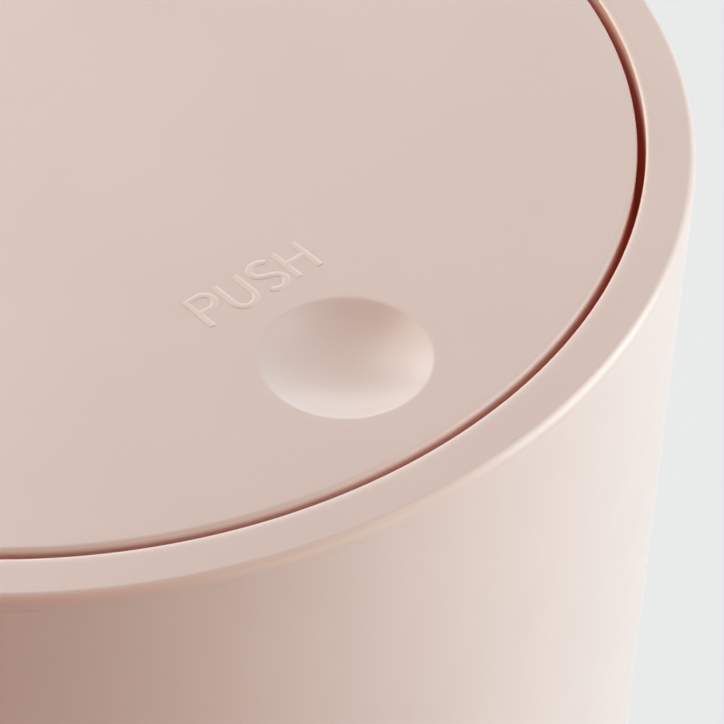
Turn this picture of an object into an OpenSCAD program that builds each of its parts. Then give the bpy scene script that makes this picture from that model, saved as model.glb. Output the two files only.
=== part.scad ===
// Push top countertop bin: a round tapered bin, a flush lift-off lid ring and a round flap that
// tips on two axle pins when its front edge is pressed. Millimetres, +Z up, front at -Y, and the
// origin is on the standing surface under the middle of the bin.

/* [Overall] */
// Diameter of the lid ring and of the bin's rim
outer_d = 180; // [150:1:240]
// Height from the standing surface to the top of the lid
overall_h = 210; // [120:1:320]
// Slope of the bin's wall, in degrees
draft = 1.15; // [0.3:0.05:2.5]

/* [Bin body] */
// Thickness of the wall
body_wall = 2; // [1.2:0.1:2.4]
// Thickness of the floor
floor_t = 3; // [2.6:0.1:6]
// Rounding of the outer bottom edge
foot_round = 4; // [1:0.5:7]
// Rounding of the inner corner between wall and floor
inner_round = 3; // [1:0.5:8]
// Rounding of both edges of the rim
rim_round = 0.4; // [0.1:0.05:0.55]
// Width of the land that is left around the recess under the floor
base_land = 26; // [22:1:40]
// Depth of the recess under the floor
base_recess = 1; // [0.4:0.1:1.4]

/* [Foot pads] */
// Diameter of a pad
pad_d = 12; // [8:0.5:16]
// Thickness of a pad
pad_t = 2.2; // [1.9:0.1:2.8]
// How far a pad stands below the base
pad_proud = 1; // [0.5:0.1:1.5]
// Distance from the base's outer edge to the middle of a pad
pad_inset = 14; // [12.5:0.5:17]
// Space round a pad in its pocket
pad_clear = 0.15; // [0.05:0.05:0.4]

/* [Lid frame] */
// Width of the flat ring, from the flap's opening to the outer edge
ring_w = 7; // [6.8:0.1:12]
// Thickness of the lip that rests on the bin's rim
lip_t = 2.2; // [1.6:0.05:3]
// Rounding of the ring's outer top edge
lip_round = 1.65; // [0.3:0.05:1.9]
// Rounding of the lip's lower outer edge
lip_edge_round = 0.25; // [0.05:0.05:0.3]
// Rounding of the opening's top edge
opening_round = 0.8; // [0.3:0.05:1.9]
// Thickness of the collar round the opening
collar_wall = 2.2; // [1.4:0.1:3]
// How far the collar runs on below the stop ledge
collar_below = 1.4; // [0.4:0.1:12]
// Width of a centring rib
rib_w = 2; // [1:0.1:4]
// Space between the ribs and the bin's wall
lid_clear = 0.3; // [0.15:0.05:0.8]
// Plastic round a bearing bush
bush_cover = 2.2; // [1.2:0.1:4]

/* [Push flap] */
// Gap between the flap and the ring
flap_gap = 1.05; // [0.9:0.05:2]
// How far the flap's top lies below the ring's
flap_sink = 0.3; // [0:0.05:0.6]
// Depth of the flap's edge
flap_t = 10; // [9.6:0.1:12]
// Thickness of the flap's top
flap_top_t = 2.2; // [1.6:0.1:2.6]
// Thickness of the flap's skirt
skirt_wall = 2; // [1.4:0.1:3]
// Rounding of the flap's top edge
flap_round = 1.25; // [0.3:0.05:1.9]
// Diameter of the fingertip dimple
dimple_d = 22.6; // [16:0.1:26]
// Depth of the dimple
dimple_depth = 2.8; // [1.5:0.1:4.2]
// Distance from the flap's front edge to the middle of the dimple
dimple_inset = 18.65; // [17:0.05:24]
// Thickness of the under cover
cover_t = 1.8; // [1.4:0.1:2]
// Space round the under cover
cover_clear = 0.2; // [0.1:0.05:0.5]
// Thickness of the stiffening ribs
stiffener_t = 1.4; // [0.8:0.1:2.5]
// Height of the stiffening ribs
stiffener_h = 2.6; // [1:0.1:3.2]
// Distance from the counterweight to the round stiffening rib
stiffener_inset = 9; // [4:0.5:14]

/* [Axle] */
// Diameter of an axle pin
pin_d = 3; // [2:0.1:3.4]
// Depth of the axle line below the flap's top
axle_depth = 5; // [4.6:0.1:5.2]
// Length of the pin that sits in the flap
pin_hold = 12; // [8:0.5:18]
// Space between the pin's outer end and the end of its bush
pin_short = 0.6; // [0.2:0.1:1]
// Chamfer on the ends of a pin
pin_chamfer = 0.3; // [0.1:0.1:0.6]
// Plastic round a pin in the flap
pin_cover = 1.5; // [1:0.1:2.4]
// Wall of a bearing bush
bush_wall = 1.5; // [0.8:0.1:1.6]
// Running space round a pin in its bush
pin_run = 0.05; // [0.02:0.01:0.1]
// Space round what is pressed into its seat
press_gap = 0.02; // [0.01:0.01:0.05]
// How far the flap tips, in degrees
open_angle = 80; // [60:1:84]

/* [Stops] */
// How far the rear ledge reaches in from the opening
ledge_reach = 7; // [6.8:0.1:12]
// Thickness of the rear ledge
ledge_t = 2.4; // [1.6:0.1:4]
// Length of the rear ledge, in degrees of the ring
ledge_span = 76; // [66:1:100]
// Diameter of a stop bumper
bumper_d = 5; // [4:0.1:5.6]
// Height of a bumper above the ledge
bumper_proud = 1.2; // [0.6:0.1:2.5]
// Diameter of a bumper's stem
stem_d = 2.6; // [1.6:0.1:3.4]
// Angle of a bumper from the middle of the ledge
bumper_angle = 25; // [12:1:30]
// Reach of an open stop in from the opening
lug_reach = 5; // [3:0.5:10]
// Thickness of an open stop
lug_t = 4; // [2:0.5:6]
// Length of an open stop, measured down from the closed flap
lug_h = 9; // [6:0.5:14]
// Space between the closed flap and an open stop
lug_drop = 1.4; // [0.6:0.1:2.5]
// Space between the open flap and its stop
stop_gap = 0.2; // [0.1:0.05:0.5]

/* [Counterweight] */
// Distance from the flap's edge to the crescent
weight_inset = 22; // [20:0.5:28]
// Width of the crescent
weight_w = 20; // [12:0.5:24]
// Thickness of the crescent
weight_t = 4; // [2:0.1:4.6]
// Length of the crescent, in degrees
weight_span = 100; // [60:1:120]
// Diameter of the pegs that locate it
peg_d = 4; // [2.5:0.1:6]
// Angle from an end of the crescent to its peg, in degrees
peg_inset = 15; // [8:1:25]
// Space round the pegs and above the crescent
weight_clear = 0.15; // [0.05:0.05:0.3]

/* [Screws] */
// Diameter of a screw's shank
screw_d = 2.9; // [2.6:0.1:3.4]
// Diameter of a screw's head
screw_head_d = 5.4; // [4.6:0.1:5.6]
// Length of a screw
screw_l = 6.5; // [5:0.1:6.8]
// Plastic round a screw
screw_cover = 2; // [1.2:0.1:2.6]
// Distance from the flap's edge to the outer screws
screw_inset = 11.5; // [10:0.5:13]
// Width of the cross in a screw's head
cross_w = 0.8; // [0.4:0.1:1.2]
// Space round a screw's shank
screw_clear = 0.05; // [0.02:0.01:0.1]

/* [Hidden] */

$fn = 128;
rib_count = 12;
pad_count = 4;
screw_count = 4;
spoke_count = 6;
// How far a cut runs past the face that it opens
past = 1;
// Angle between a rounding and the faces that it joins
bite = 4;
// Least flat that is left between two roundings
least_flat = 0.05;

pink = [0.86, 0.76, 0.71];
rubber_grey = [0.62, 0.55, 0.52];
bush_white = [0.93, 0.92, 0.88];
steel = [0.72, 0.73, 0.75];

outer_r = outer_d / 2;
base_z = pad_proud;
rim_z = overall_h - lip_t;
floor_z = base_z + floor_t;
opening_r = outer_r - ring_w;
flap_r = opening_r - flap_gap;
flap_top_z = overall_h - flap_sink;
axle_z = flap_top_z - axle_depth;
flap_bottom_z = flap_top_z - flap_t;
cover_top_z = flap_bottom_z + cover_t;
roof_z = flap_top_z - flap_top_t;
root_z = flap_top_z - flap_top_t / 2;
ledge_top_z = flap_bottom_z - bumper_proud;
ledge_low_z = ledge_top_z - ledge_t;
collar_z = ledge_low_z - collar_below;
rib_end_r = wall_r(collar_z) - body_wall - lid_clear;
bush_r = pin_d / 2 + bush_wall;
skirt_in_r = flap_r - skirt_wall;
pin_in_x = flap_r - pin_hold;
pin_out_x = rib_end_r - pin_short;
bumper_r = opening_r - ledge_reach / 2;
screw_r = flap_r - screw_inset;
dimple_y = dimple_inset - flap_r;
dimple_sphere_r = (pow(dimple_d / 2, 2) + pow(dimple_depth, 2)) / (2 * dimple_depth);
weight_r_out = flap_r - weight_inset;
weight_r_in = weight_r_out - weight_w;
stiffener_r = weight_r_in - stiffener_inset;
peg_r = (weight_r_in + weight_r_out) / 2;
peg_angle = weight_span / 2 - peg_inset;
weight_top_z = cover_top_z + weight_t;
pocket_depth = pad_t - pad_proud;
pad_r = wall_r(base_z) - pad_inset;

// Outer radius of the bin's wall at height z
function wall_r(z) = outer_r - (rim_z - z) * tan(draft);
// Unit vector at angle a in a profile
function dir(a) = [cos(a), sin(a)];

// What a rounding of radius r takes off corner p, whose edges leave it at angles a1 and a2.
// The circle crosses both edges at the angle bite, and the shape runs past them on the outside.
module corner_waste(p, a1, a2, r) {
  half = abs(a2 - a1) / 2;
  inward = dir((a1 + a2) / 2);
  depth = r * cos(bite);
  middle = p + depth / sin(half) * inward;
  function beyond(a) = middle + (depth + past) / depth * (p + depth / tan(half) * dir(a) - middle);
  difference() {
    polygon([p - past / sin(half) * inward, beyond(a1), middle, beyond(a2)]);
    translate(middle) circle(r);
  }
}

// Places a copy at each of n equal steps round the Z axis, the first at angle start
module round_z(n, start = 0) {
  for (i = [0:n - 1]) rotate(start + i * 360 / n) children();
}

// Turns a piece made along +X to side -1 or +1
module on_side(side) {
  rotate(side > 0 ? 0 : 180) children();
}

// A cylinder along +X on the axle line, from x0 to x1
module axle_rod(r, x0, x1) {
  translate([x0, 0, axle_z]) rotate([0, 90, 0]) cylinder(r = r, h = x1 - x0);
}

// A sector of a ring between two radii and two heights, with its middle at the rear
module rear_sector(r0, r1, z0, z1, span) {
  rotate(90 - span / 2) rotate_extrude(angle = span) translate([r0, z0]) square([r1 - r0, z1 - z0]);
}

// Pad position i, counted round from the rear right
module at_pad(i) {
  rotate(45 + 90 * (i - 1)) translate([pad_r, 0, 0]) children();
}

// Bin body

module bin_outline() {
  difference() {
    polygon([[0, base_z], [wall_r(base_z), base_z], [outer_r, rim_z], [0, rim_z]]);
    corner_waste([wall_r(base_z), base_z], 180, 90 - draft, foot_round);
    corner_waste([outer_r, rim_z], 180, 270 - draft, rim_round);
    translate([0, base_z - past]) square([wall_r(base_z) - base_land, past + base_recess]);
  }
}

module bin_hollow() {
  difference() {
    polygon([[0, floor_z], [wall_r(floor_z) - body_wall, floor_z],
             [wall_r(rim_z + past) - body_wall, rim_z + past], [0, rim_z + past]]);
    corner_waste([wall_r(floor_z) - body_wall, floor_z], 180, 90 - draft, inner_round);
  }
}

module bin_body() {
  color(pink) difference() {
    rotate_extrude() difference() {
      bin_outline();
      bin_hollow();
      corner_waste([outer_r - body_wall, rim_z], 0, -90 - draft, rim_round);
    }
    for (i = [1:pad_count]) at_pad(i) {
      translate([0, 0, base_z - past]) cylinder(d = pad_d + 2 * pad_clear, h = past + pocket_depth);
    }
  }
}

module foot_pad(i) {
  color(rubber_grey) at_pad(i) cylinder(d = pad_d, h = pad_t);
}

// Lid frame

module frame_profile() {
  difference() {
    union() {
      translate([opening_r, rim_z]) square([ring_w, lip_t]);
      translate([opening_r, collar_z]) square([collar_wall, overall_h - collar_z]);
    }
    corner_waste([outer_r, overall_h], 180, 270, min(lip_round, lip_t - lip_edge_round - least_flat));
    corner_waste([outer_r, rim_z], 180, 90, lip_edge_round);
    corner_waste([opening_r, overall_h], 0, -90, opening_round);
  }
}

// Ribs that centre the frame in the bin, clear of the axle bosses
module centring_ribs() {
  root = opening_r + collar_wall / 2;
  round_z(rib_count, 180 / rib_count) {
    translate([root, -rib_w / 2, collar_z]) cube([rib_end_r - root, rib_w, rim_z - collar_z]);
  }
}

module axle_boss() {
  low = axle_z - bush_r - bush_cover;
  width = 2 * (bush_r + bush_cover);
  intersection() {
    translate([opening_r + collar_wall / 2, -width / 2, low]) cube([ring_w, width, rim_z - low]);
    cylinder(r = rib_end_r, h = overall_h);
  }
}

// Open stop: its front face lies flat on the flap's underside when the flap is fully tipped
module open_stop() {
  face = flap_bottom_z - axle_z;
  top = face - lug_drop;
  low = face - lug_h;
  function face_y(z) = (stop_gap - face + z * cos(open_angle)) / sin(open_angle);
  translate([opening_r - lug_reach, 0, axle_z]) rotate([90, 0, 90]) {
    linear_extrude(lug_reach + collar_wall / 2) {
      polygon([[face_y(top), top], [face_y(low), low],
               [face_y(top) + lug_t, low], [face_y(top) + lug_t, top]]);
    }
  }
}

module lid_frame() {
  color(pink) difference() {
    union() {
      rotate_extrude() frame_profile();
      centring_ribs();
      for (side = [-1, 1]) {
        on_side(side) axle_boss();
        mirror([side < 0 ? 1 : 0, 0, 0]) open_stop();
      }
      rear_sector(opening_r - ledge_reach, opening_r + collar_wall / 2,
                  ledge_low_z, ledge_top_z, ledge_span);
    }
    for (side = [-1, 1]) {
      on_side(side) axle_rod(bush_r + press_gap, opening_r - collar_wall, rib_end_r + past);
      at_bumper(side) translate([0, 0, ledge_low_z - past]) {
        cylinder(d = stem_d + 2 * press_gap, h = ledge_t + 2 * past);
      }
    }
  }
}

module at_bumper(side) {
  rotate(90 - side * bumper_angle) translate([bumper_r, 0, 0]) children();
}

module bearing_bush(side) {
  color(bush_white) on_side(side) difference() {
    intersection() {
      axle_rod(bush_r, opening_r - collar_wall, rib_end_r);
      difference() {
        cylinder(r = rib_end_r, h = overall_h);
        cylinder(r = opening_r, h = overall_h);
      }
    }
    axle_rod(pin_d / 2 + pin_run, opening_r - 2 * collar_wall, rib_end_r + past);
  }
}

module stop_bumper(side) {
  color(rubber_grey) at_bumper(side) {
    translate([0, 0, ledge_top_z]) cylinder(d = bumper_d, h = bumper_proud);
    translate([0, 0, ledge_low_z]) cylinder(d = stem_d, h = ledge_t);
  }
}

// Push flap

module flap_profile() {
  difference() {
    translate([0, flap_bottom_z]) square([flap_r, flap_t]);
    translate([0, flap_bottom_z - past]) square([skirt_in_r, flap_t - flap_top_t + past]);
    corner_waste([flap_r, flap_top_z], 180, 270, flap_round);
  }
}

// The dimple's ball, grown by the wall under it
module dimple_ball(grow) {
  translate([0, dimple_y, flap_top_z - dimple_depth + dimple_sphere_r]) sphere(r = dimple_sphere_r + grow);
}

module dimple_wall() {
  intersection() {
    dimple_ball(flap_top_t);
    translate([0, dimple_y, cover_top_z]) {
      cylinder(d = dimple_d + 2 * flap_top_t, h = root_z - cover_top_z);
    }
  }
}

// Bosses for the pins, clear of the under cover
module pin_boss() {
  intersection() {
    axle_rod(pin_d / 2 + pin_cover, pin_in_x, flap_r - skirt_wall / 2);
    translate([0, -flap_r, cover_top_z + cover_clear]) {
      cube([2 * flap_r, 2 * flap_r, root_z - cover_top_z - cover_clear]);
    }
  }
  translate([pin_in_x, -pin_d / 2 - pin_cover, axle_z]) {
    cube([pin_hold - skirt_wall / 2, pin_d + 2 * pin_cover, root_z - axle_z]);
  }
}

module at_screws() {
  children();
  round_z(screw_count, 180 / screw_count) translate([screw_r, 0, 0]) children();
}

module stiffeners() {
  low = roof_z - stiffener_h;
  rotate_extrude() translate([stiffener_r - stiffener_t / 2, low]) square([stiffener_t, root_z - low]);
  round_z(spoke_count, 90 / spoke_count) {
    translate([0, -stiffener_t / 2, low]) cube([stiffener_r, stiffener_t, root_z - low]);
  }
}

// Feet that hold the crescent down
module weight_feet() {
  low = weight_top_z + weight_clear;
  for (side = [-1, 0, 1]) rotate(90 + side * peg_angle) {
    translate([peg_r, 0, low]) cylinder(d = peg_d, h = root_z - low);
  }
}

module flap_top() {
  color(pink) difference() {
    union() {
      rotate_extrude() flap_profile();
      dimple_wall();
      for (side = [-1, 1]) on_side(side) pin_boss();
      at_screws() translate([0, 0, cover_top_z]) {
        cylinder(r = screw_d / 2 + screw_cover, h = root_z - cover_top_z);
      }
      stiffeners();
      weight_feet();
    }
    dimple_ball(0);
    for (side = [-1, 1]) on_side(side) {
      axle_rod(pin_d / 2 + press_gap, pin_in_x - past, flap_r + past);
    }
    at_screws() translate([0, 0, cover_top_z - past]) {
      cylinder(r = screw_d / 2 + screw_clear, h = past + flap_bottom_z + screw_l - cover_top_z);
    }
  }
}

// Posts that stop the pins from sliding in
module pin_post() {
  post_top = axle_z;
  translate([pin_in_x - press_gap - stiffener_t, -pin_d / 2, flap_bottom_z + cover_t / 2]) {
    cube([stiffener_t, pin_d, post_top - flap_bottom_z - cover_t / 2]);
  }
}

module flap_under_cover() {
  head_h = screw_head_h();
  color(pink) difference() {
    union() {
      translate([0, 0, flap_bottom_z]) cylinder(r = skirt_in_r - cover_clear, h = cover_t);
      for (side = [-1, 1]) {
        on_side(side) pin_post();
        rotate(90 + side * peg_angle) translate([peg_r, 0, flap_bottom_z + cover_t / 2]) {
          cylinder(d = peg_d, h = cover_t / 2 + weight_t / 2);
        }
      }
    }
    at_screws() translate([0, 0, flap_bottom_z - past]) {
      cylinder(r = screw_d / 2 + screw_clear, h = cover_t + 2 * past);
      cylinder(r1 = screw_head_d / 2 + screw_clear + past, r2 = screw_d / 2 + screw_clear,
               h = head_h + past);
    }
  }
}

module counterweight() {
  color(steel) difference() {
    rear_sector(weight_r_in, weight_r_out, cover_top_z, weight_top_z, weight_span);
    for (side = [-1, 1]) rotate(90 + side * peg_angle) {
      translate([peg_r, 0, cover_top_z - past]) {
        cylinder(d = peg_d + 2 * weight_clear, h = weight_t + 2 * past);
      }
    }
  }
}

module axle_pin(side) {
  r = pin_d / 2;
  color(steel) on_side(side) translate([pin_in_x, 0, axle_z]) rotate([0, 90, 0]) {
    rotate_extrude() polygon([[0, 0], [r - pin_chamfer, 0], [r, pin_chamfer],
                              [r, pin_out_x - pin_in_x - pin_chamfer],
                              [r - pin_chamfer, pin_out_x - pin_in_x], [0, pin_out_x - pin_in_x]]);
  }
}

// Height of a countersunk head with its sides at 45 degrees
function screw_head_h() = (screw_head_d - screw_d) / 2;

module cover_screws() {
  head_h = screw_head_h();
  color(steel) at_screws() translate([0, 0, flap_bottom_z]) difference() {
    union() {
      cylinder(r1 = screw_head_d / 2, r2 = screw_d / 2, h = head_h);
      translate([0, 0, head_h]) cylinder(d = screw_d, h = screw_l - head_h - screw_clear);
    }
    for (turn = [0, 90]) rotate(turn) translate([-screw_d / 2, -cross_w / 2, -past]) {
      cube([screw_d, cross_w, past + head_h]);
    }
  }
}

bin_body();
foot_pad(1);  // foot_pad_1
foot_pad(2);  // foot_pad_2
foot_pad(3);  // foot_pad_3
foot_pad(4);  // foot_pad_4
lid_frame();
bearing_bush(-1);  // bearing_bush_left
bearing_bush(1);  // bearing_bush_right
stop_bumper(-1);  // stop_bumper_left
stop_bumper(1);  // stop_bumper_right
flap_top();
flap_under_cover();
counterweight();
axle_pin(-1);  // axle_pin_left
axle_pin(1);  // axle_pin_right
cover_screws();
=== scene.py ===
"""Push top countertop bin: the visible pieces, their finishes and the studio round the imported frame."""

import math

import bmesh
import bpy
from bpy.props import FloatProperty, FloatVectorProperty, PointerProperty
from mathutils import Matrix, Vector


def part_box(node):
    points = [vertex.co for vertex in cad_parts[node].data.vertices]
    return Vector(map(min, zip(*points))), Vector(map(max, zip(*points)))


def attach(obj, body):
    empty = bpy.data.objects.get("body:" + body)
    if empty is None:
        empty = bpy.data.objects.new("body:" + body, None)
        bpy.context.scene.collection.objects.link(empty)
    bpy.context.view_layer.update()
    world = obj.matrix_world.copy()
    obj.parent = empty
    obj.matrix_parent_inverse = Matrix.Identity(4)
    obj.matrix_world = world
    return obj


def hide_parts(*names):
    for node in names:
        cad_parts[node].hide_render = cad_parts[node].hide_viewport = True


bl_info = {
    "name": "Push Top Bin",
    "version": (1, 0, 0),
    "blender": (4, 5, 0),
    "location": "View3D > Sidebar > Push Bin",
    "description": "Builds the pieces of a push top countertop bin, their finishes and a studio",
    "category": "Add Mesh",
}

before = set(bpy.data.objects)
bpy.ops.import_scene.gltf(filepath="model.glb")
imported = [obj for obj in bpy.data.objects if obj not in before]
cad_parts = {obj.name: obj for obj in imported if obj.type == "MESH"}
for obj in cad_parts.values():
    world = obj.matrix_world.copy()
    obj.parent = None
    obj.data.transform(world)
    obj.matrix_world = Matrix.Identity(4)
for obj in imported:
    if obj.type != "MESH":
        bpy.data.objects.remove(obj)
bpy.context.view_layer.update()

# Pieces are modelled in millimetres and brought to metres when they are finished
MM = 1000.0
ROUND_STEPS = 256
FINE_STEPS = 96
BOWL_STEPS = 22
FULL_TURN = 2 * math.pi
MERGE = 1e-4
SHARP = math.radians(33)
# How far a cutting shape runs on past a surface
PAST = 1.0


def node_box(name):
    """Lowest and highest corner of a CAD node, in millimetres."""
    low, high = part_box(name)
    return low * MM, high * MM


BODY_LOW, BODY_HIGH = node_box("bin_body")
LID_HIGH = node_box("lid_frame")[1]
FLAP_LOW, FLAP_HIGH = node_box("flap_top")
PIN_LOW, PIN_HIGH = node_box("axle_pin_right")
BUSH_LOW, BUSH_HIGH = node_box("bearing_bush_right")
PAD_LOW, PAD_HIGH = node_box("foot_pad_1")
BUMPER_LOW, BUMPER_HIGH = node_box("stop_bumper_right")

OUTER_R = LID_HIGH.x
TOP_Z = LID_HIGH.z
RIM_Z = BODY_HIGH.z
BASE_Z = BODY_LOW.z
FLAP_R = FLAP_HIGH.x
FLAP_TOP_Z = FLAP_HIGH.z
FLAP_LOW_Z = FLAP_LOW.z
AXLE_Z = (PIN_LOW.z + PIN_HIGH.z) / 2
OPEN_TURN = math.radians(80)
BUSH_R = (BUSH_HIGH.z - BUSH_LOW.z) / 2
RIB_END_R = BUSH_HIGH.x

# Smaller sizes of the body and the lid, in millimetres
BASE_LAND, BASE_RECESS, RECESS_ROUND = 26.0, 1.0, 0.4
PAD_SPACE, PRESS_GAP = 0.15, 0.02
LIP_CORNER, EDGE_ROUND = 0.06, 0.5
COLLAR_BELOW = 1.4
RIBS, RIB_HALF, BOSS_HALF = 12, 1.0, 5.2
LEDGE_REACH, LEDGE_SPAN, LEDGE_STEPS = 7.0, math.radians(76), 72
BUMPER_CAP, BUMPER_STEM_R, BUMPER_TURN = 1.2, 1.3, math.radians(25)
STOP_SPACE, STOP_REACH, STOP_THICK = 0.2, 5.0, 4.0
STOP_TOP, STOP_LOW = 1.4, 9.0
# How far a boss stays short of the ribs' ends, and how far the ledge sinks into the collar
BOSS_SHORT, LEDGE_SINK = 0.15, 0.3
# Width of the plain border that joins the dimple and the flap's edge to the flat between them
BORDER = 1.2


# ---------------------------------------------------------------- settings


def length(name, text, value, least, most):
    """A size in metres that the panel shows."""
    return FloatProperty(
        name=name, description=text, default=value, min=least, max=most, unit="LENGTH", precision=5
    )


def colour(name, text, value):
    """A linear colour that the panel shows."""
    return FloatVectorProperty(
        name=name, description=text, default=value, min=0, max=1, size=3, subtype="COLOR"
    )


class BodySettings(bpy.types.PropertyGroup):
    wall: length("Wall", "Thickness of the bin's wall", 0.002, 0.001, 0.003)
    floor: length("Floor", "Thickness of the bin's floor", 0.003, 0.002, 0.006)
    foot_round: length("Foot rounding", "Rounding of the outer bottom edge", 0.004, 0.001, 0.007)
    inner_round: length("Inner rounding", "Rounding between wall and floor", 0.003, 0.001, 0.008)
    rim_round: length("Rim rounding", "Rounding of both edges of the rim", 0.00006, 0.00003, 0.0006)
    draft: FloatProperty(
        name="Slope", description="Slope of the wall", default=math.radians(1.15),
        min=0, max=math.radians(3), subtype="ANGLE",
    )


class LidSettings(bpy.types.PropertyGroup):
    ring_width: length("Ring width", "Width of the flat ring", 0.0069, 0.005, 0.012)
    round_width: length("Lip rounding width", "Width of the outer rounding", 0.0012, 0.0005, 0.003)
    round_drop: length("Lip rounding drop", "Height of the outer rounding", 0.0018, 0.0005, 0.0018)
    inner_width: length("Opening rounding width", "Width of the opening's rounding", 0.0015, 0.0003, 0.003)
    inner_drop: length("Opening rounding drop", "Height of the opening's rounding", 0.0005, 0.0003, 0.0019)
    collar: length("Collar", "Thickness of the collar", 0.0022, 0.0014, 0.003)


class FlapSettings(bpy.types.PropertyGroup):
    wall: length("Wall", "Thickness of the flap's skin", 0.002, 0.0014, 0.003)
    edge_round: length("Edge rounding", "Rounding of the top edge", 0.0009, 0.0003, 0.0019)
    dimple: length("Dimple", "Diameter of the fingertip dimple", 0.0226, 0.016, 0.026)
    dimple_depth: length("Dimple depth", "Depth of the dimple", 0.0028, 0.001, 0.0045)
    dimple_inset: length("Dimple inset", "From the front edge to its middle", 0.01865, 0.017, 0.024)
    dimple_round: length("Dimple rounding", "Rounding of the dimple's rim", 0.0003, 0.0002, 0.003)


class WordSettings(bpy.types.PropertyGroup):
    stroke: length("Stroke", "Width of a stroke", 0.00105, 0.0003, 0.0015)
    relief: length("Relief", "Height of the letters", 0.00013, 0.00005, 0.00029)
    base_y: length("Baseline", "From the middle of the flap to the baseline", -0.0479, -0.06, 0.06)


class FinishSettings(bpy.types.PropertyGroup):
    body: colour("Body", "Colour of the bin's body", (0.599, 0.485, 0.435))
    lid: colour("Lid", "Colour of the lid ring", (0.599, 0.485, 0.435))
    flap: colour("Flap", "Colour of the flap", (0.599, 0.485, 0.435))
    rubber: colour("Rubber", "Colour of pads and bumpers", (0.34, 0.24, 0.21))
    bush: colour("Bush", "Colour of the bearing bushes", (0.80, 0.78, 0.72))
    steel: colour("Steel", "Colour of the metal parts", (0.62, 0.63, 0.65))


class StageSettings(bpy.types.PropertyGroup):
    floor: colour("Floor", "Colour of the floor", (0.80, 0.80, 0.80))
    backdrop: FloatProperty(name="Backdrop", description="Brightness of what is seen behind", default=0.78)
    backdrop_share: FloatProperty(
        name="Backdrop share", description="How far the ground shows the backdrop's own tone",
        default=0.85, min=0, max=1,
    )
    horizon: FloatProperty(name="Horizon", description="Brightness seen beyond the ground", default=0.83)
    lamps: FloatProperty(name="Lamps", description="Factor on the power of every lamp", default=1.0, min=0)


# ---------------------------------------------------------------- shapes


def new_profile(bm, corners, closed=False, centre=(0.0, 0.0)):
    """Draws a profile of (radius, height, rounding) corners and rounds those that have one."""
    verts = [bm.verts.new((centre[0] + r, centre[1], z)) for r, z, _ in corners]
    pairs = list(zip(verts, verts[1:])) + ([(verts[-1], verts[0])] if closed else [])
    for a, b in pairs:
        bm.edges.new((a, b))
    for vert, (_, _, size) in zip(verts, corners):
        if size:
            segments = max(6, min(14, round(size * 6)))
            bmesh.ops.bevel(
                bm, geom=[vert], offset=size, offset_type="OFFSET", segments=segments,
                profile=0.5, affect="VERTICES", clamp_overlap=False, material=-1,
            )
    return bm


def spin(bm, steps=ROUND_STEPS, angle=FULL_TURN, centre=(0.0, 0.0)):
    """Turns all of the mesh round a vertical axis."""
    bmesh.ops.spin(
        bm, geom=bm.verts[:] + bm.edges[:] + bm.faces[:], cent=(*centre, 0), axis=(0, 0, 1),
        dvec=(0, 0, 0), angle=angle, steps=steps, use_merge=angle == FULL_TURN,
        use_normal_flip=False, use_duplicate=False,
    )
    bmesh.ops.remove_doubles(bm, verts=bm.verts[:], dist=MERGE)
    bmesh.ops.recalc_face_normals(bm, faces=bm.faces[:])
    return bm


def box(bm, low, high, turn=0.0):
    """A block between two corners, turned about the Z axis."""
    size = Vector(high) - Vector(low)
    middle = (Vector(high) + Vector(low)) / 2
    place = Matrix.Rotation(turn, 4, "Z") @ Matrix.Translation(middle) @ Matrix.Diagonal((*size, 1))
    return bmesh.ops.create_cube(bm, size=1, matrix=place)["verts"]


def rod(bm, start, end, radius, steps=48):
    """A plain cylinder between two points."""
    start, end = Vector(start), Vector(end)
    along = end - start
    turn = along.to_track_quat("Z", "Y").to_matrix().to_4x4()
    place = Matrix.Translation((start + end) / 2) @ turn
    return bmesh.ops.create_cone(
        bm, cap_ends=True, segments=steps, radius1=radius, radius2=radius,
        depth=along.length, matrix=place,
    )["verts"]


def need_closed(bm, name):
    """Raises an error where a solid's surface has an open or doubled edge."""
    loose = sum(1 for e in bm.edges if not e.is_manifold)
    if loose:
        raise RuntimeError(f"{name} has {loose} open edges")


def temporary(bm, name):
    """An object that holds a mesh until its modifiers are applied."""
    mesh = bpy.data.meshes.new(name)
    bm.to_mesh(mesh)
    obj = bpy.data.objects.new(name, mesh)
    bpy.context.scene.collection.objects.link(obj)
    return obj


def combined(bm, other, operation):
    """The mesh after a Boolean with another one."""
    target, tool = temporary(bm, "boolean_target"), temporary(other, "boolean_tool")
    modifier = target.modifiers.new("boolean", "BOOLEAN")
    modifier.object, modifier.operation, modifier.solver = tool, operation, "EXACT"
    modifier.use_self = False
    return from_objects(target, tool)


def from_objects(target, *others):
    """A mesh of the first object with its modifiers applied. All the objects are removed."""
    bpy.context.view_layer.update()
    shown = target.evaluated_get(bpy.context.evaluated_depsgraph_get())
    mesh = bpy.data.meshes.new_from_object(shown)
    bm = bmesh.new()
    bm.from_mesh(mesh)
    bpy.data.meshes.remove(mesh)
    for obj in (target, *others):
        data = obj.data
        bpy.data.objects.remove(obj)
        if isinstance(data, bpy.types.Mesh):
            bpy.data.meshes.remove(data)
        elif isinstance(data, bpy.types.Curve):
            bpy.data.curves.remove(data)
    return bm


def finished(bm, name, finish, body, replaced=()):
    """Brings a mesh to metres, makes it an object and hands it to the frame."""
    need_closed(bm, name)
    bmesh.ops.scale(bm, vec=(1 / MM,) * 3, verts=bm.verts[:])
    for face in bm.faces:
        face.smooth = True
    for edge in bm.edges:
        edge.smooth = edge.calc_face_angle(0) < SHARP
    mesh = bpy.data.meshes.new(name)
    bm.to_mesh(mesh)
    bm.free()
    mesh.materials.append(finish)
    obj = bpy.data.objects.new(name, mesh)
    bpy.context.scene.collection.objects.link(obj)
    weighted = obj.modifiers.new("weighted normals", "WEIGHTED_NORMAL")
    weighted.keep_sharp = True
    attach(obj, body)
    if replaced:
        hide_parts(*replaced)
    return obj


# ---------------------------------------------------------------- finishes

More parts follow.
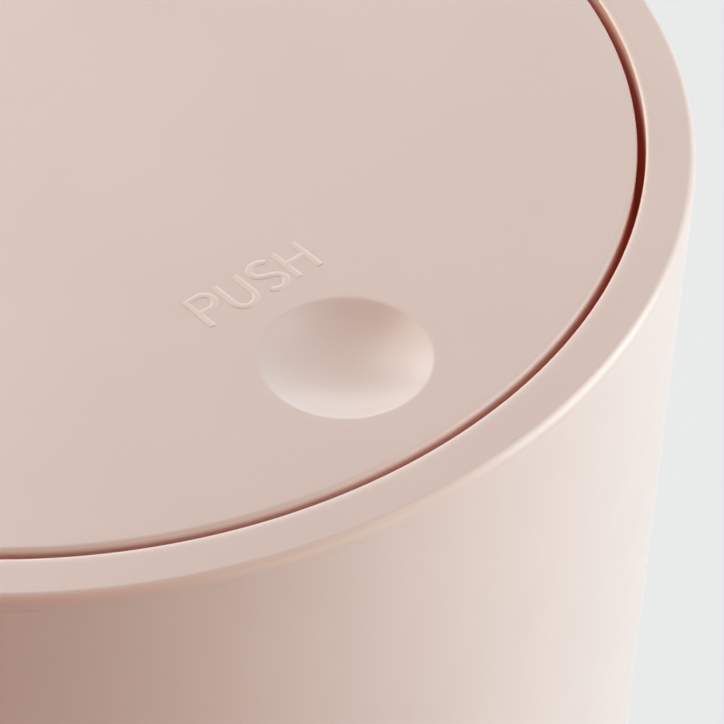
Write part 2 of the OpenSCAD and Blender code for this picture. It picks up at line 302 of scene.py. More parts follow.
# Painted edge light: where the flat starts, as a normal's Z, and the tints that paint light on edges that
# face the middle and face away
FLAP_EDGE_LIGHT = (0.87, (1.12, 1.1, 1.02), (1.15, 1.12, 1.04))
LID_EDGE_LIGHT = (0.97, (1.2, 1.1, 0.99), (1.07, 1.03, 0.98))

# How open a place is, from 0 to 1, for the painted brown shade of the gaps and for the painted glow: in
# full, and not at all
GAP_SHADE_FROM, GAP_SHADE_TO = 0.1, 0.24
PAINTED_GLOW_FROM, PAINTED_GLOW_TO = 0.5, 1
# Walls that face the middle get a painted glow for the light that comes through from outside. Their
# distance from it in metres, as a minus number, is where that painted glow is at its full strength and
# where it ends
INNER_GLOW_FROM, INNER_GLOW_TO = -0.084, -0.07
# How far round a place its openness is looked at, in metres
GAP_REACH = 0.003


def shader(name):
    """A new material with its node tree and its Principled node."""
    material = bpy.data.materials.new(name)
    material.use_nodes = True
    tree = material.node_tree
    tree.nodes.clear()
    out = tree.nodes.new("ShaderNodeOutputMaterial")
    surface = tree.nodes.new("ShaderNodeBsdfPrincipled")
    tree.links.new(surface.outputs["BSDF"], out.inputs["Surface"])
    return material, tree, surface


def add_noise(tree, coords, scale, detail=2.0, roughness=0.5):
    """A noise in the piece's own space."""
    noise = tree.nodes.new("ShaderNodeTexNoise")
    noise.inputs["Scale"].default_value = scale
    noise.inputs["Detail"].default_value = detail
    noise.inputs["Roughness"].default_value = roughness
    tree.links.new(coords.outputs["Object"], noise.inputs["Vector"])
    return noise


def add_range(tree, value, low, high, to_low, to_high):
    """Maps a value from one range to another, and keeps it inside."""
    ranged = tree.nodes.new("ShaderNodeMapRange")
    for socket, number in (("From Min", low), ("From Max", high), ("To Min", to_low), ("To Max", to_high)):
        ranged.inputs[socket].default_value = number
    tree.links.new(value, ranged.inputs["Value"])
    return ranged.outputs["Result"]


def tinted(base, factor):
    """A colour made darker or lighter by a factor."""
    return (*[min(1.0, c * factor) for c in base], 1.0)


def facing_out(tree, coords):
    """How far a surface faces away from the middle line: below 0 it faces the middle."""
    level = tree.nodes.new("ShaderNodeVectorMath")
    level.operation = "MULTIPLY"
    level.inputs[1].default_value = (1, 1, 0)
    tree.links.new(coords.outputs["Object"], level.inputs[0])
    outward = tree.nodes.new("ShaderNodeVectorMath")
    outward.operation = "DOT_PRODUCT"
    tree.links.new(level.outputs["Vector"], outward.inputs[0])
    tree.links.new(coords.outputs["Normal"], outward.inputs[1])
    return outward.outputs["Value"]


def painted_edge_light(tree, coords, outward, colour, base, edges):
    """Paints light on rounded edges: tints that make them lighter, a painted glow and highlight for the
    light that comes through the plastic from both sides.
    """
    flat, *tints = edges
    parts = tree.nodes.new("ShaderNodeSeparateXYZ")
    tree.links.new(coords.outputs["Normal"], parts.inputs["Vector"])
    slope = tree.nodes.new("ShaderNodeValToRGB")
    ramp = slope.color_ramp
    ramp.interpolation = "EASE"
    ramp.elements[0].position, ramp.elements[1].position = 0.05, 0.6
    for place in (flat - 0.13, flat):
        ramp.elements.new(place)
    for element, level in zip(ramp.elements, (0, 1, 1, 0)):
        element.color = (level, level, level, 1)
    tree.links.new(parts.outputs["Z"], slope.inputs["Fac"])
    side = tree.nodes.new("ShaderNodeMix")
    edge = tree.nodes.new("ShaderNodeMix")
    side.data_type = edge.data_type = "RGBA"
    # Painted edge light: the edge colours are the base colour times these lightening tints
    for socket, tint in zip(("A", "B"), tints):
        side.inputs[socket].default_value = (*(b * t for b, t in zip(base, tint)), 1)
    tree.links.new(add_range(tree, outward, -0.01, 0.01, 0, 1), side.inputs["Factor"])
    tree.links.new(slope.outputs["Color"], edge.inputs["Factor"])
    tree.links.new(colour, edge.inputs["A"])
    tree.links.new(side.outputs["Result"], edge.inputs["B"])
    return edge.outputs["Result"]


def painted_gap_shade_and_glow(tree, outward, surface, colour, glow):
    """Paints shade into narrow gaps as a warm brown, and adds a painted red glow for the light that shines
    through the walls round hollows.
    """
    nearby = tree.nodes.new("ShaderNodeAmbientOcclusion")
    nearby.samples = 6
    nearby.inputs["Distance"].default_value = GAP_REACH
    # Painted shade: a warm brown multiplied into the colour where a gap is narrow
    gap_shade = tree.nodes.new("ShaderNodeMix")
    gap_shade.data_type, gap_shade.blend_type = "RGBA", "MULTIPLY"
    gap_shade.inputs["B"].default_value = (0.9, 0.35, 0.27, 1)
    tree.links.new(colour, gap_shade.inputs["A"])
    tree.links.new(add_range(tree, nearby.outputs["AO"], GAP_SHADE_FROM, GAP_SHADE_TO, 1, 0), gap_shade.inputs["Factor"])
    tree.links.new(gap_shade.outputs["Result"], surface.inputs["Base Color"])
    # Painted glow: a red emission in narrow gaps and on walls that face the middle
    lit = tree.nodes.new("ShaderNodeMath")
    lit.operation = "MAXIMUM"
    tree.links.new(add_range(tree, nearby.outputs["AO"], PAINTED_GLOW_FROM, PAINTED_GLOW_TO, glow, 0), lit.inputs[0])
    tree.links.new(add_range(tree, outward, INNER_GLOW_FROM, INNER_GLOW_TO, glow, 0), lit.inputs[1])
    surface.inputs["Emission Color"].default_value = (1, 0.12, 0.06, 1)
    tree.links.new(lit.outputs["Value"], surface.inputs["Emission Strength"])


def moulded_plastic(name, base, roughness=0.34, mottle=0.02, glow=0.045, edges=FLAP_EDGE_LIGHT):
    """Satin moulded plastic: faint clouding, a very fine grain and rare tiny specks; where glow is set,
    also painted light on rounded edges, painted brown shade in narrow gaps and a painted red glow in gaps
    and on walls that face the middle.
    """
    material, tree, surface = shader(name)
    coords = tree.nodes.new("ShaderNodeTexCoord")
    clouds = add_noise(tree, coords, 22.0, 3.0)
    tone = tree.nodes.new("ShaderNodeMix")
    tone.data_type = "RGBA"
    tone.inputs["A"].default_value = tinted(base, 1 - mottle)
    tone.inputs["B"].default_value = tinted(base, 1 + mottle)
    tree.links.new(add_range(tree, clouds.outputs["Fac"], 0.3, 0.7, 0, 1), tone.inputs["Factor"])
    cells = tree.nodes.new("ShaderNodeTexVoronoi")
    cells.inputs["Scale"].default_value = 70.0
    tree.links.new(coords.outputs["Object"], cells.inputs["Vector"])
    specks = tree.nodes.new("ShaderNodeMix")
    specks.data_type = "RGBA"
    specks.inputs["B"].default_value = tinted(base, 0.9)
    tree.links.new(add_range(tree, cells.outputs["Distance"], 0.008, 0.02, 0.6, 0), specks.inputs["Factor"])
    tree.links.new(tone.outputs["Result"], specks.inputs["A"])
    # Painted light and shade: lighter rounded edges, a brown shade in narrow gaps and a red glow
    if glow:
        outward = facing_out(tree, coords)
        colour = painted_edge_light(tree, coords, outward, specks.outputs["Result"], base, edges)
        painted_gap_shade_and_glow(tree, outward, surface, colour, glow)
    else:
        tree.links.new(specks.outputs["Result"], surface.inputs["Base Color"])
    wear = add_noise(tree, coords, 60.0, 4.0, 0.6)
    rough = add_range(tree, wear.outputs["Fac"], 0.3, 0.7, roughness - 0.03, roughness + 0.04)
    tree.links.new(rough, surface.inputs["Roughness"])
    grain = add_noise(tree, coords, 2600.0, 2.0)
    bump = tree.nodes.new("ShaderNodeBump")
    bump.inputs["Strength"].default_value = 0.05
    bump.inputs["Distance"].default_value = 0.00002
    tree.links.new(grain.outputs["Fac"], bump.inputs["Height"])
    tree.links.new(bump.outputs["Normal"], surface.inputs["Normal"])
    surface.inputs["IOR"].default_value = 1.49
    return material


def rubber_finish(name, base):
    """Dull rubber with a little dust."""
    material, tree, surface = shader(name)
    coords = tree.nodes.new("ShaderNodeTexCoord")
    dust = add_noise(tree, coords, 400.0, 4.0)
    tone = tree.nodes.new("ShaderNodeMix")
    tone.data_type = "RGBA"
    tone.inputs["A"].default_value = tinted(base, 0.92)
    tone.inputs["B"].default_value = tinted(base, 1.1)
    tree.links.new(dust.outputs["Fac"], tone.inputs["Factor"])
    tree.links.new(tone.outputs["Result"], surface.inputs["Base Color"])
    tree.links.new(
        add_range(tree, dust.outputs["Fac"], 0.3, 0.7, 0.68, 0.82), surface.inputs["Roughness"]
    )
    return material


def steel_finish(name, base):
    """Zinc-plated steel with a fine spangle."""
    material, tree, surface = shader(name)
    coords = tree.nodes.new("ShaderNodeTexCoord")
    spangle = add_noise(tree, coords, 700.0, 4.0, 0.65)
    tone = tree.nodes.new("ShaderNodeMix")
    tone.data_type = "RGBA"
    tone.inputs["A"].default_value = tinted(base, 0.88)
    tone.inputs["B"].default_value = tinted(base, 1.06)
    tree.links.new(spangle.outputs["Fac"], tone.inputs["Factor"])
    tree.links.new(tone.outputs["Result"], surface.inputs["Base Color"])
    tree.links.new(
        add_range(tree, spangle.outputs["Fac"], 0.3, 0.7, 0.24, 0.38), surface.inputs["Roughness"]
    )
    surface.inputs["Metallic"].default_value = 1.0
    return material


# ---------------------------------------------------------------- pieces


class PUSHBIN_OT_body(bpy.types.Operator):
    """Adds the tapered body with its rounded foot, rim and floor"""

    bl_idname = "mesh.pushbin_body"
    bl_label = "Bin body"

    def execute(self, context):
        size = context.scene.pushbin_body
        slope, wall = math.tan(size.draft), size.wall * MM
        floor_z = BASE_Z + size.floor * MM

        def wall_r(z):
            return OUTER_R - (RIM_Z - z) * slope

        recess_r, recess_z = wall_r(BASE_Z) - BASE_LAND, BASE_Z + BASE_RECESS
        corners = [
            (0, recess_z, 0),
            (recess_r, recess_z, RECESS_ROUND),
            (recess_r, BASE_Z, RECESS_ROUND),
            (wall_r(BASE_Z), BASE_Z, size.foot_round * MM),
            (OUTER_R, RIM_Z, size.rim_round * MM),
            (OUTER_R - wall, RIM_Z, size.rim_round * MM),
            (wall_r(floor_z) - wall, floor_z, size.inner_round * MM),
            (0, floor_z, 0),
        ]
        bm = spin(new_profile(bmesh.new(), corners))
        pockets = bmesh.new()
        pad = (PAD_LOW + PAD_HIGH) / 2
        pad_r = (PAD_HIGH.x - PAD_LOW.x) / 2
        for sx, sy in ((1, 1), (-1, 1), (-1, -1), (1, -1)):
            at = (sx * abs(pad.x), sy * abs(pad.y))
            rod(pockets, (*at, BASE_Z - PAST), (*at, PAD_HIGH.z), pad_r + PAD_SPACE)
        bm = combined(bm, pockets, "DIFFERENCE")
        finish = moulded_plastic("satin_plastic_body", context.scene.pushbin_finish.body)
        finished(bm, "body_shell", finish, "bin", ["bin_body"])
        return {"FINISHED"}


class PUSHBIN_OT_lid(bpy.types.Operator):
    """Adds the lid ring with its collar, ribs, bosses, rear ledge and open stops"""

    bl_idname = "mesh.pushbin_lid"
    bl_label = "Lid ring"

    def execute(self, context):
        size = context.scene.pushbin_lid
        opening = OUTER_R - size.ring_width * MM
        collar = opening + size.collar * MM
        ledge_top = BUMPER_HIGH.z - BUMPER_CAP
        ledge_low = BUMPER_LOW.z
        collar_z = ledge_low - COLLAR_BELOW
        drop, inner_drop = size.round_drop * MM, size.inner_drop * MM
        bm = bmesh.new()
        corners = [
            (OUTER_R, RIM_Z, LIP_CORNER),
            (OUTER_R, TOP_Z, drop),
            (opening, TOP_Z, inner_drop),
            (opening, collar_z, EDGE_ROUND),
            (collar, collar_z, EDGE_ROUND),
            (collar, RIM_Z, 0),
        ]
        new_profile(bm, corners, closed=True)
        shoulder = [v for v in bm.verts if v.co.x > OUTER_R - drop - MERGE and v.co.z > RIM_Z + 0.3]
        self.widened(bm, shoulder, OUTER_R, size.round_width / size.round_drop)
        throat = [v for v in bm.verts if v.co.x < opening + inner_drop + MERGE and v.co.z > RIM_Z]
        self.widened(bm, throat, opening, size.inner_width / size.inner_drop)
        spin(bm)
        extra = bmesh.new()
        root = (opening + collar) / 2
        under = RIM_Z - 0.01
        for i in range(RIBS):
            turn = FULL_TURN * (i + 0.5) / RIBS
            box(extra, (root, -RIB_HALF, collar_z), (RIB_END_R, RIB_HALF, under), turn)
        for side in (0, math.pi):
            low, high = (root, -BOSS_HALF, AXLE_Z - BOSS_HALF), (RIB_END_R - BOSS_SHORT, BOSS_HALF, under)
            box(extra, low, high, side)
        face = AXLE_Z - FLAP_LOW_Z
        for side in (-1, 1):
            self.open_stop(extra, side, opening, root, face)
        bm = combined(bm, extra, "UNION")
        ledge, ledge_root = bmesh.new(), root - LEDGE_SINK
        new_profile(
            ledge,
            [
                (opening - LEDGE_REACH, ledge_low, EDGE_ROUND), (ledge_root, ledge_low, 0),
                (ledge_root, ledge_top, 0), (opening - LEDGE_REACH, ledge_top, EDGE_ROUND),
            ],
            closed=True,
        )
        bmesh.ops.contextual_create(ledge, geom=ledge.edges[:])
        bmesh.ops.rotate(
            ledge, verts=ledge.verts[:], cent=(0, 0, 0),
            matrix=Matrix.Rotation(math.pi / 2 - LEDGE_SPAN / 2, 3, "Z"),
        )
        spin(ledge, LEDGE_STEPS, LEDGE_SPAN)
        bmesh.ops.contextual_create(ledge, geom=[e for e in ledge.edges if e.is_boundary][:])
        bm = combined(bm, self.closed_ends(ledge), "UNION")
        holes = bmesh.new()
        for side in (-1, 1):
            near, far = side * (opening - PAST), side * (RIB_END_R + PAST)
            rod(holes, (near, 0, AXLE_Z), (far, 0, AXLE_Z), BUSH_R + PRESS_GAP)
            angle = math.pi / 2 - side * BUMPER_TURN
            at = Vector((math.cos(angle), math.sin(angle))) * (opening - LEDGE_REACH / 2)
            rod(holes, (*at, ledge_low - PAST), (*at, ledge_top + PAST), BUMPER_STEM_R + PRESS_GAP)
        bm = combined(bm, holes, "DIFFERENCE")
        finish = moulded_plastic("satin_plastic_lid", context.scene.pushbin_finish.lid, edges=LID_EDGE_LIGHT)
        finished(bm, "lid_ring", finish, "lid", ["lid_frame"])
        return {"FINISHED"}

    def widened(self, bm, verts, edge, factor):
        """Stretches a rounding across, away from the wall that it meets."""
        bmesh.ops.scale(
            bm, vec=(factor, 1, 1), verts=verts, space=Matrix.Translation((-edge, 0, 0))
        )

    def closed_ends(self, ledge):
        """Fills what is left open at the two ends of the ledge."""
        bmesh.ops.holes_fill(ledge, edges=[e for e in ledge.edges if e.is_boundary], sides=0)
        bmesh.ops.recalc_face_normals(ledge, faces=ledge.faces[:])
        return ledge

    def open_stop(self, bm, side, opening, root, face):
        """A lug whose front face lies flat on the flap's underside when it is fully open."""
        top, low = -face - STOP_TOP, -face - STOP_LOW

        def front(z):
            return (STOP_SPACE + face + z * math.cos(OPEN_TURN)) / math.sin(OPEN_TURN)

        inner, outer = side * (opening - STOP_REACH), side * root
        back = front(top) + STOP_THICK
        outline = [(front(top), top), (front(low), low), (back, low), (back, top)]
        verts = [bm.verts.new((inner, y, AXLE_Z + z)) for y, z in outline]
        face_made = bm.faces.new(verts)
        grown = bmesh.ops.extrude_face_region(bm, geom=[face_made])["geom"]
        moved = [g for g in grown if isinstance(g, bmesh.types.BMVert)]
        bmesh.ops.translate(bm, verts=moved, vec=(outer - inner, 0, 0))
        bmesh.ops.recalc_face_normals(bm, faces=bm.faces[:])


class PUSHBIN_OT_flap(bpy.types.Operator):
    """Adds the round push flap with its fingertip dimple"""

    bl_idname = "mesh.pushbin_flap"
    bl_label = "Push flap"

    def execute(self, context):
        size = context.scene.pushbin_flap
        half, depth = size.dimple * MM / 2, size.dimple_depth * MM
        ball = (half * half + depth * depth) / (2 * depth)
        centre = (0.0, size.dimple_inset * MM - FLAP_R)
        rim = size.dimple_round * MM
        steps = ROUND_STEPS
        bm = bmesh.new()
        flat = FLAP_R - size.edge_round * MM - BORDER
        new_profile(
            bm, [(FLAP_R, FLAP_LOW_Z, 0), (FLAP_R, FLAP_TOP_Z, size.edge_round * MM), (flat, FLAP_TOP_Z, 0)]
        )
        spin(bm, steps)
        dimple = bmesh.new()
        sweep = math.asin(half / ball)
        profile = []
        for i in range(BOWL_STEPS - 4):
            a = sweep * i / BOWL_STEPS
            profile.append((ball * math.sin(a), FLAP_TOP_Z - depth + ball * (1 - math.cos(a)), 0))
        profile += [(half, FLAP_TOP_Z, rim), (half + rim + BORDER, FLAP_TOP_Z, 0)]
        new_profile(dimple, profile, centre=centre)
        spin(dimple, steps, centre=centre)
        joined = bpy.data.meshes.new("flap_part")
        dimple.to_mesh(joined)
        dimple.free()
        bm.from_mesh(joined)
        bpy.data.meshes.remove(joined)
        open_edges = [
            e for e in bm.edges if e.is_boundary and abs(e.verts[0].co.z - FLAP_TOP_Z) < 0.01
        ]
        bmesh.ops.bridge_loops(bm, edges=open_edges)
        bmesh.ops.recalc_face_normals(bm, faces=bm.faces[:])
        if max(bm.faces, key=lambda f: f.calc_center_median().z).normal.z < 0:
            bmesh.ops.reverse_faces(bm, faces=bm.faces[:])
        shell = temporary(bm, "flap_skin")
        wall = shell.modifiers.new("wall", "SOLIDIFY")
        wall.thickness, wall.offset, wall.use_even_offset = size.wall * MM, -1, True
        bm = from_objects(shell)
        finish = moulded_plastic("satin_plastic_flap", context.scene.pushbin_finish.flap)
        finished(bm, "flap_shell", finish, "push_flap", ["flap_top"])
        return {"FINISHED"}


def arc(x, y, r, start, end, wide=1.0, count=16):
    """Points of an arc, with its angles in degrees, stretched sideways by a factor."""
    return [
        (x + wide * r * math.cos(math.radians(a)), y + r * math.sin(math.radians(a)))
        for a in (start + (end - start) * i / count for i in range(count + 1))
    ]


# Middle lines of the letters' strokes in millimetres, from the word's baseline
LETTER_LOW, LETTER_MIDDLE, LETTER_HIGH = 0.15, 3.15, 5.92
BOWL_X, BOWL_R, CUP_R, HOOK_R = 1.9, 1.44, 1.7, 1.37
P_X, U_X, S_X, H_X = -9.19, -4.44, 2.41, 5.51
H_RIGHT = H_X + 3.5
LETTER_STROKES = [
    [
        (P_X, LETTER_LOW), (P_X, LETTER_HIGH),
        *arc(P_X + BOWL_X, LETTER_HIGH - BOWL_R, BOWL_R, 90, -90), (P_X, LETTER_HIGH - 2 * BOWL_R),
    ],
    [
        (U_X, LETTER_HIGH), *arc(U_X + CUP_R, LETTER_LOW + CUP_R, CUP_R, 180, 360),
        (U_X + 2 * CUP_R, LETTER_HIGH),
    ],
    [
        *arc(S_X, LETTER_HIGH - HOOK_R, HOOK_R, 30, 245, 1.17),
        *arc(S_X, LETTER_LOW + HOOK_R, HOOK_R, 65, -150, 1.17),
    ],
    [(H_X, LETTER_LOW), (H_X, LETTER_HIGH)],
    [(H_RIGHT, LETTER_LOW), (H_RIGHT, LETTER_HIGH)],
    [(H_X, LETTER_MIDDLE), (H_RIGHT, LETTER_MIDDLE)],
]


# How softly the letters rise from the surface: 1 is a half round edge
SOFT_EDGE = 1.2
LETTER_GRID = 0.06


class PUSHBIN_OT_word(bpy.types.Operator):
    """Adds the raised word beside the dimple"""

    bl_idname = "mesh.pushbin_word"
    bl_label = "Raised word"

    def execute(self, context):
        size = context.scene.pushbin_word
        half, relief = size.stroke * MM / 2, size.relief * MM
        curve = bpy.data.curves.new("letter_strokes", "CURVE")
        curve.dimensions = "3D"
        curve.bevel_depth, curve.bevel_resolution, curve.use_fill_caps = half, 6, True
        for points in LETTER_STROKES:
            line = curve.splines.new("POLY")
            line.points.add(len(points) - 1)
            for point, (x, y) in zip(line.points, points):
                point.co = (x, y + size.base_y * MM, 0, 1)
        strokes = bpy.data.objects.new("letter_strokes", curve)
        bpy.context.scene.collection.objects.link(strokes)
        bm = from_objects(strokes)
        skin = temporary(bm, "letters")
        remesh = skin.modifiers.new("melt", "REMESH")
        remesh.mode, remesh.voxel_size = "VOXEL", LETTER_GRID
        bm = from_objects(skin)
        for vert in bm.verts:
            level = vert.co.z / half
            vert.co.z = math.copysign(relief * abs(level) ** SOFT_EDGE, level)
        for _ in range(3):
            bmesh.ops.smooth_vert(
                bm, verts=bm.verts[:], factor=0.5, use_axis_x=True, use_axis_y=True, use_axis_z=True
            )
        bmesh.ops.translate(bm, verts=bm.verts[:], vec=(0, 0, FLAP_TOP_Z))
        lighter = tinted(context.scene.pushbin_finish.flap, 1.06)[:3]
        finish = moulded_plastic("satin_plastic_word", lighter, glow=0)
        finished(bm, "raised_word", finish, "push_flap")
        return {"FINISHED"}


class PUSHBIN_OT_pads(bpy.types.Operator):
    """Adds the rubber foot pads and stop bumpers with softened edges"""

    bl_idname = "mesh.pushbin_pads"
    bl_label = "Rubber pads"

    def execute(self, context):
        finish = rubber_finish("soft_rubber", context.scene.pushbin_finish.rubber)
        for i in range(1, 5):
            self.button(f"pad_rubber_{i}", f"foot_pad_{i}", "bin", finish)
        for side in ("left", "right"):
            self.bumper(f"bumper_rubber_{side}", f"stop_bumper_{side}", finish)
        return {"FINISHED"}

    def button(self, name, node, body, finish):
        low, high = node_box(node)
        centre, r = ((low.x + high.x) / 2, (low.y + high.y) / 2), (high.x - low.x) / 2
        corners = [
            (0, low.z, 0), (r - 1.6, low.z, 0), (r, low.z + 0.35, 0.3), (r, high.z, 0.2), (0, high.z, 0)
        ]
        bm = spin(new_profile(bmesh.new(), corners, centre=centre), FINE_STEPS, centre=centre)
        finished(bm, name, finish, body, [node])

    def bumper(self, name, node, finish):
        low, high = node_box(node)
        centre, r = ((low.x + high.x) / 2, (low.y + high.y) / 2), (high.x - low.x) / 2
        shelf = high.z - BUMPER_CAP
        corners = [
            (0, low.z, 0), (BUMPER_STEM_R, low.z, 0.2), (BUMPER_STEM_R, shelf, 0), (r, shelf, 0),
            (r, high.z, 0.45), (0, high.z, 0),
        ]
        bm = spin(new_profile(bmesh.new(), corners, centre=centre), FINE_STEPS, centre=centre)
        finished(bm, name, finish, "lid", [node])


class PUSHBIN_OT_finishes(bpy.types.Operator):
    """Gives the CAD nodes that stay in view their finishes"""

    bl_idname = "material.pushbin_finishes"
    bl_label = "Inner parts' finishes"

    def execute(self, context):
        look = context.scene.pushbin_finish
        steel = steel_finish("zinc_plated_steel", look.steel)
        bush = moulded_plastic("natural_acetal", look.bush, 0.35, 0.01, 0)
        cover = moulded_plastic("satin_plastic_cover", look.flap)
        for name, finish in (
            ("counterweight", steel), ("cover_screws", steel), ("axle_pin_left", steel),
            ("axle_pin_right", steel), ("bearing_bush_left", bush), ("bearing_bush_right", bush),
            ("flap_under_cover", cover),
        ):
            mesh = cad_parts[name].data
            mesh.materials.clear()
            mesh.materials.append(finish)
        return {"FINISHED"}


# ---------------------------------------------------------------- stage

VIEW_TURN = math.radians(-41.601)
VIEW_RISE = math.radians(43.335)
VIEW_ROLL = 0.00667
VIEW_TARGET = Vector((0.000725, -0.06551, 0.209857))
VIEW_DISTANCE = 0.4078
VIEW_LENS = 158.86

LAMP_DISTANCE = 0.9
LAMP_TARGET = Vector((0, 0, 0.15))

# Softboxes: turn and rise from the camera's own direction in degrees, side in metres, watts, colour
# Distances from the middle of the floor between which its tone fades into the horizon's
FAR_FLOOR = (0.2, 0.65)

LAMPS = [
    ("window_low", 90, 10, 0.6, 7.95, (0.662, 0.878, 1.0)),
    ("window_high", 90, 45, 0.6, 3.26, (1.0, 0.925, 0.958)),
    ("rear_low", 180, 10, 0.6, 2.66, (0.721, 0.886, 1.0)),
    ("rear_left_low", 225, 10, 0.6, 5.69, (0.876, 1.0, 0.988)),
    ("rear_left_high", 225, 45, 0.6, 4.32, (0.916, 1.0, 0.984)),
    ("left_high", 270, 45, 0.6, 3.09, (1.0, 0.720, 0.585)),
    ("front_right_low", 45, 10, 0.6, 1.70, (0.962, 1.0, 0.684)),
    ("warm_front", 0, 10, 0.6, 1.10, (1.0, 0.034, 0.0)),
]


def aimed(position, target):
    """A matrix at a place, looking at a target, with no roll."""
    turn = (target - position).to_track_quat("-Z", "Y").to_matrix().to_4x4()
    return Matrix.Translation(position) @ turn


def from_view(turn, rise, distance, middle):
    """A point at a distance from a middle, by its angles from the camera's own direction."""
    a, e = VIEW_TURN + math.radians(turn), math.radians(rise)
    way = Vector((math.sin(a) * math.cos(e), -math.cos(a) * math.cos(e), math.sin(e)))
    return middle + way * distance


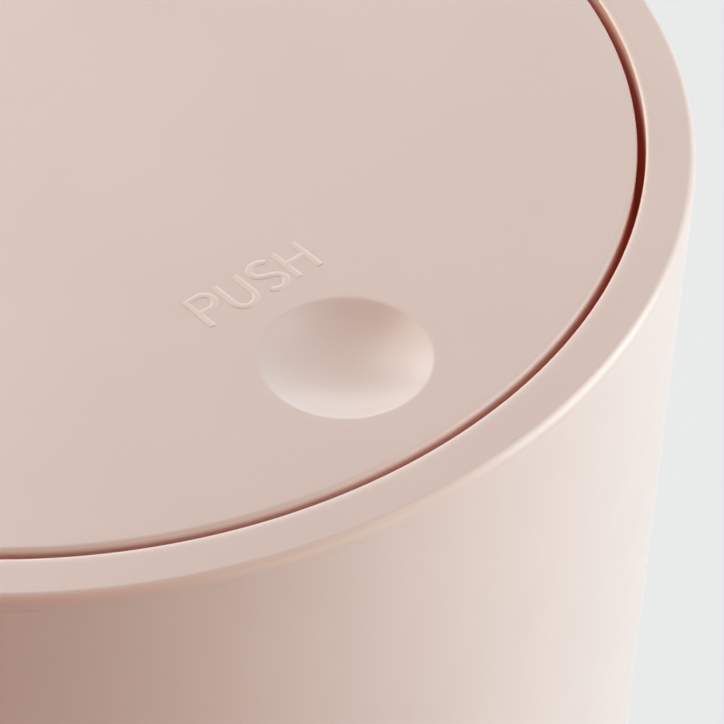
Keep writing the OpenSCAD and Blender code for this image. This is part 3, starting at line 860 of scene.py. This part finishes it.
class PUSHBIN_OT_stage(bpy.types.Operator):
    """Adds the floor, the lamps, the world and the camera"""

    bl_idname = "scene.pushbin_stage"
    bl_label = "Stage"

    def execute(self, context):
        look = context.scene.pushbin_stage
        self.camera(context)
        self.floor(look)
        for name, turn, rise, side, watts, tint in LAMPS:
            self.lamp(name, turn, rise, side, watts * look.lamps, tint)
        self.world(context, look)
        context.scene.view_settings.view_transform = "Standard"
        return {"FINISHED"}

    def camera(self, context):
        data = bpy.data.cameras.new("camera")
        data.lens, data.sensor_width, data.sensor_fit = VIEW_LENS, 36, "HORIZONTAL"
        data.clip_start, data.clip_end = 0.01, 20
        camera = bpy.data.objects.new("camera", data)
        context.scene.collection.objects.link(camera)
        away = from_view(0, math.degrees(VIEW_RISE), 1, Vector())
        right = Vector((math.cos(VIEW_TURN), math.sin(VIEW_TURN), 0))
        up = away.cross(right)
        c, s = math.cos(VIEW_ROLL), math.sin(VIEW_ROLL)
        right, up = c * right + s * up, c * up - s * right
        turn = Matrix((right, up, away)).transposed().to_4x4()
        camera.matrix_world = Matrix.Translation(VIEW_TARGET + away * VIEW_DISTANCE) @ turn
        context.scene.camera = camera

    def floor(self, look):
        bm = bmesh.new()
        bmesh.ops.create_grid(bm, x_segments=1, y_segments=1, size=4)
        mesh = bpy.data.meshes.new("floor")
        bm.to_mesh(mesh)
        bm.free()
        floor = bpy.data.objects.new("floor", mesh)
        bpy.context.scene.collection.objects.link(floor)
        mesh.materials.append(self.ground(look))

    def ground(self, look):
        """A matt ground with its own shadows, which shows the eye mostly an even tone, more so far away."""
        material, tree, surface = shader("studio_floor")
        surface.inputs["Base Color"].default_value = (*look.floor, 1)
        surface.inputs["Roughness"].default_value = 0.9
        coords = tree.nodes.new("ShaderNodeTexCoord")
        away = tree.nodes.new("ShaderNodeVectorMath")
        away.operation = "LENGTH"
        tree.links.new(coords.outputs["Object"], away.inputs[0])
        tone = add_range(tree, away.outputs["Value"], *FAR_FLOOR, look.backdrop, look.horizon)
        glow = tree.nodes.new("ShaderNodeEmission")
        tree.links.new(tone, glow.inputs["Color"])
        share = tree.nodes.new("ShaderNodeMath")
        share.operation = "MULTIPLY"
        far = add_range(tree, away.outputs["Value"], *FAR_FLOOR, look.backdrop_share, 1)
        tree.links.new(far, share.inputs[1])
        blend = tree.nodes.new("ShaderNodeMixShader")
        tree.links.new(self.seen(tree), share.inputs[0])
        tree.links.new(share.outputs["Value"], blend.inputs["Fac"])
        tree.links.new(surface.outputs["BSDF"], blend.inputs[1])
        tree.links.new(glow.outputs["Emission"], blend.inputs[2])
        tree.links.new(blend.outputs["Shader"], tree.nodes["Material Output"].inputs["Surface"])
        return material

    def seen(self, tree):
        """1 for rays from the eye, also by way of a reflection or through glass, and 0 for light."""
        path = tree.nodes.new("ShaderNodeLightPath")
        ray = path.outputs["Is Camera Ray"]
        for name in ("Is Glossy Ray", "Is Transmission Ray"):
            either = tree.nodes.new("ShaderNodeMath")
            either.operation = "MAXIMUM"
            tree.links.new(ray, either.inputs[0])
            tree.links.new(path.outputs[name], either.inputs[1])
            ray = either.outputs["Value"]
        return ray

    def lamp(self, name, turn, rise, side, watts, tint):
        """A square softbox, turned and raised from the camera's own direction."""
        data = bpy.data.lights.new(name, "AREA")
        data.shape, data.size = "SQUARE", side
        data.energy, data.color = watts, tint
        lamp = bpy.data.objects.new(name, data)
        bpy.context.scene.collection.objects.link(lamp)
        lamp.matrix_world = aimed(from_view(turn, rise, LAMP_DISTANCE, LAMP_TARGET), LAMP_TARGET)

    def world(self, context, look):
        """A very weak warm fill, which shows the eye a pale horizon."""
        world = bpy.data.worlds.new("studio")
        context.scene.world = world
        world.use_nodes = True
        tree = world.node_tree
        fill = tree.nodes["Background"]
        fill.inputs["Color"].default_value = (1, 0.8, 0.7, 1)
        fill.inputs["Strength"].default_value = 0.015
        behind = tree.nodes.new("ShaderNodeBackground")
        behind.inputs["Color"].default_value = (look.horizon,) * 3 + (1,)
        blend = tree.nodes.new("ShaderNodeMixShader")
        tree.links.new(self.seen(tree), blend.inputs["Fac"])
        tree.links.new(fill.outputs["Background"], blend.inputs[1])
        tree.links.new(behind.outputs["Background"], blend.inputs[2])
        tree.links.new(blend.outputs["Shader"], tree.nodes["World Output"].inputs["Surface"])


# ---------------------------------------------------------------- add-on


class PUSHBIN_PT_panel(bpy.types.Panel):
    """Lists the pieces of the bin and their sizes"""

    bl_label = "Push Top Bin"
    bl_idname = "PUSHBIN_PT_panel"
    bl_space_type = "VIEW_3D"
    bl_region_type = "UI"
    bl_category = "Push Bin"

    def draw(self, context):
        for operator in PIECES:
            self.layout.operator(operator.bl_idname)
        for group, settings in SETTINGS.items():
            column = self.layout.column(align=True)
            for name in settings.__annotations__:
                column.prop(getattr(context.scene, group), name)


SETTINGS = {
    "pushbin_body": BodySettings,
    "pushbin_lid": LidSettings,
    "pushbin_flap": FlapSettings,
    "pushbin_word": WordSettings,
    "pushbin_finish": FinishSettings,
    "pushbin_stage": StageSettings,
}
PIECES = [
    PUSHBIN_OT_body, PUSHBIN_OT_lid, PUSHBIN_OT_flap, PUSHBIN_OT_word, PUSHBIN_OT_pads,
    PUSHBIN_OT_finishes, PUSHBIN_OT_stage,
]


def register():
    for item in (*SETTINGS.values(), *PIECES, PUSHBIN_PT_panel):
        bpy.utils.register_class(item)
    for name, settings in SETTINGS.items():
        setattr(bpy.types.Scene, name, PointerProperty(type=settings))


def unregister():
    for name in SETTINGS:
        delattr(bpy.types.Scene, name)
    for item in reversed((*SETTINGS.values(), *PIECES, PUSHBIN_PT_panel)):
        bpy.utils.unregister_class(item)


def main():
    register()
    bpy.ops.mesh.pushbin_body()
    bpy.ops.mesh.pushbin_lid()
    bpy.ops.mesh.pushbin_flap()
    bpy.ops.mesh.pushbin_word()
    bpy.ops.mesh.pushbin_pads()
    bpy.ops.material.pushbin_finishes()
    bpy.ops.scene.pushbin_stage()


if __name__ == "__main__":
    main()
